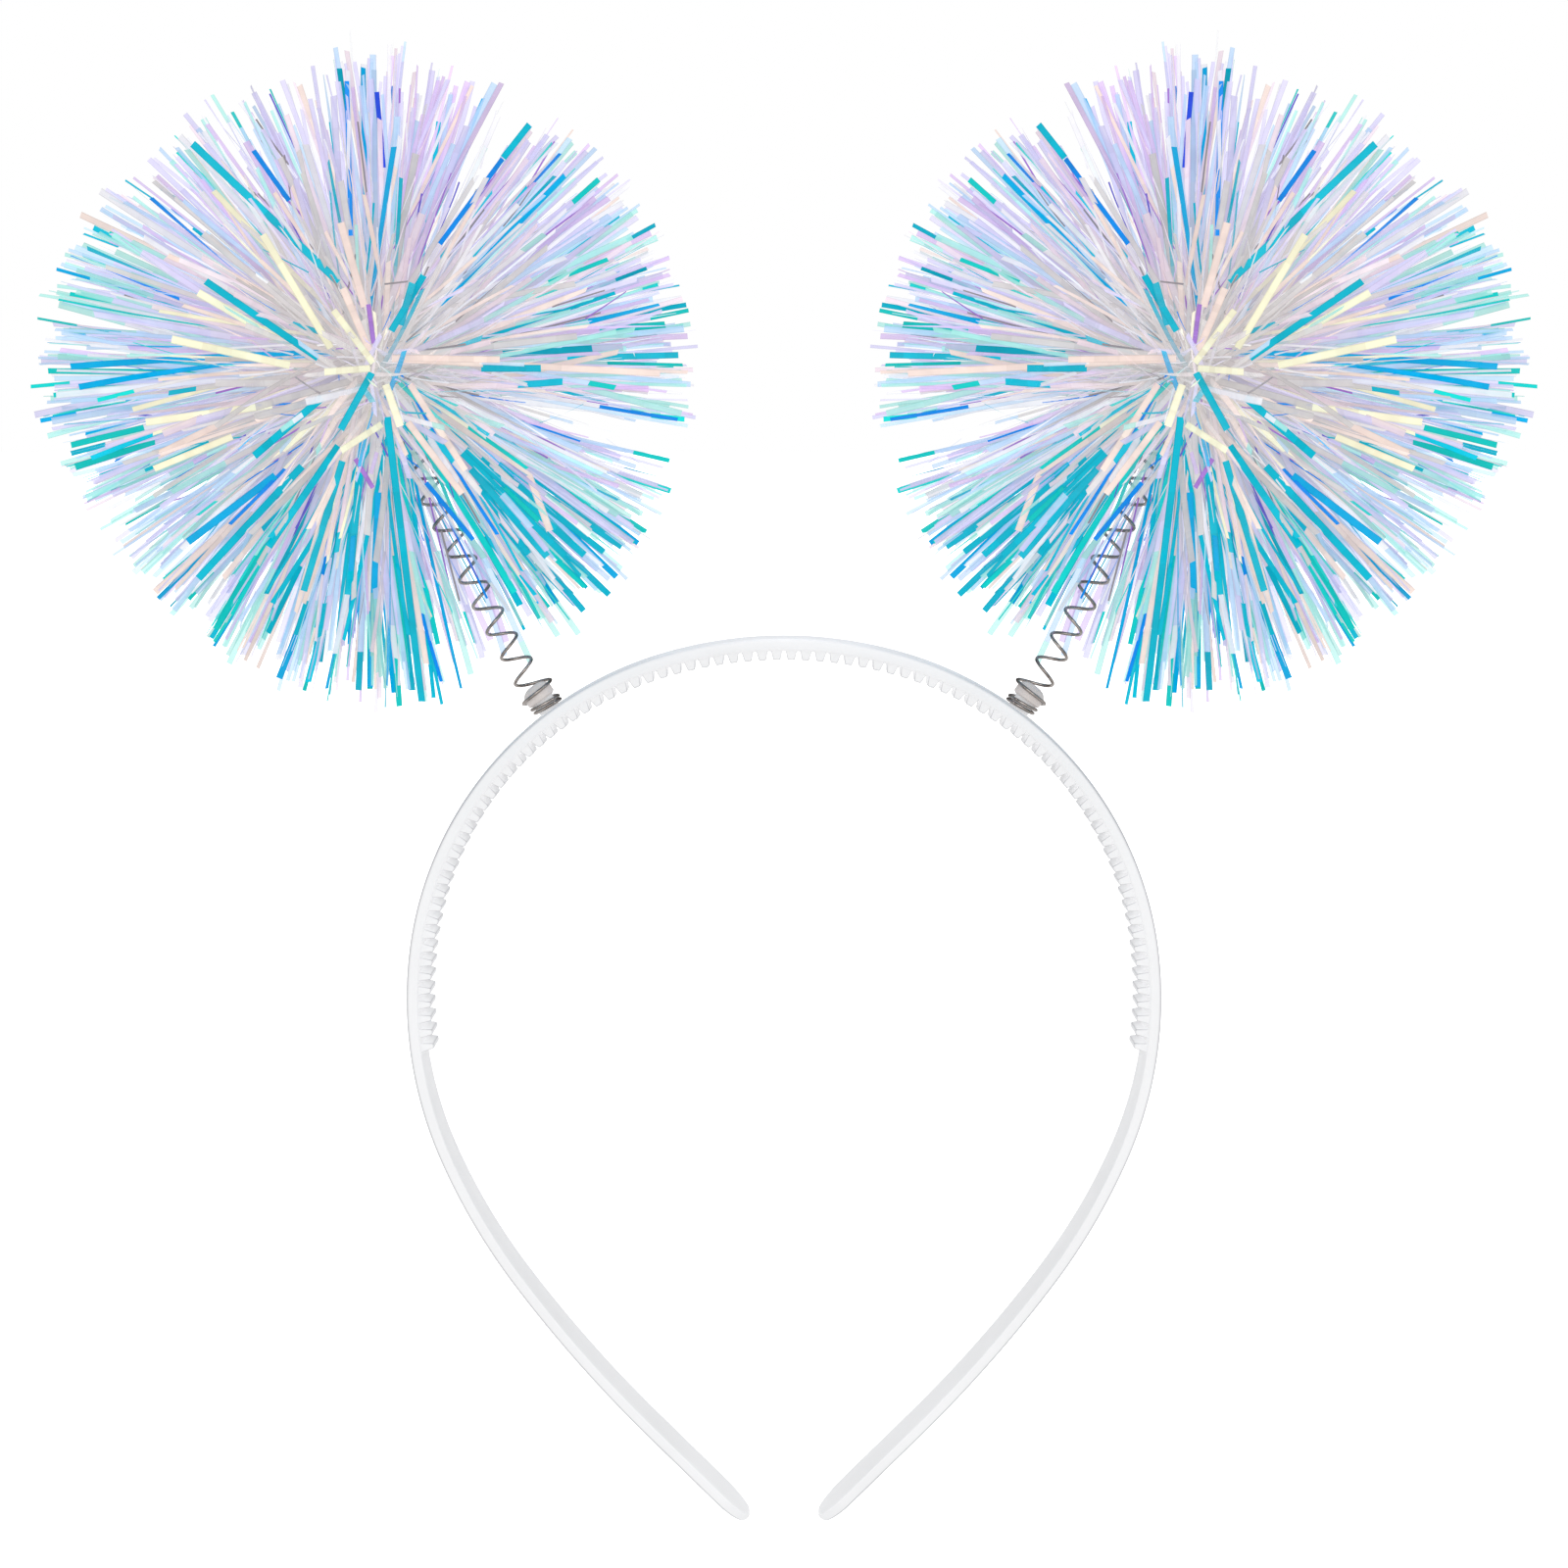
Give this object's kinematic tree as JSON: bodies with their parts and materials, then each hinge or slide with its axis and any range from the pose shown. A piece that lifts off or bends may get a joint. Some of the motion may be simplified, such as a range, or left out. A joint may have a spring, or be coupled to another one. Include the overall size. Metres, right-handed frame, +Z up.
{
  "type": "tinsel pompom headband",
  "caption": "Springy plastic headband with comb teeth inside its arch, carrying balls of iridescent tinsel on wire springs that nod above the crown.",
  "frame": {"origin": "middle of the crown at the tips of the comb teeth, where the band rests on the head", "axes": "+Z up from the crown, +X to the viewer's right in the picture, -Y to the front"},
  "size_m": [0.236, 0.1054, 0.2454],
  "materials": {
    "band_plastic": "satin white moulded plastic",
    "spring_steel": "drawn steel wire",
    "tinsel_film": "iridescent translucent film, gloss"
  },
  "bodies": {
    "band": {"headband": "band_plastic"},
    "bopper_left": {"spring_left": "spring_steel", "pompom_left": "tinsel_film"},
    "bopper_right": {"spring_right": "spring_steel", "pompom_right": "tinsel_film"}
  },
  "joints": [
    {"name": "left_nod", "type": "hinge", "parent": "band", "child": "bopper_left", "pos_m": [-0.04129, 0, -0.00473], "axis": [1, 0, 0], "range_deg": [-30, 30], "stiffness_Nm_per_rad": 0.012, "deforming": ["spring_left"]},
    {"name": "right_nod", "type": "hinge", "parent": "band", "child": "bopper_right", "pos_m": [0.04129, 0, -0.00473], "axis": [1, 0, 0], "range_deg": [-30, 30], "stiffness_Nm_per_rad": 0.012, "deforming": ["spring_right"]}
  ]
}
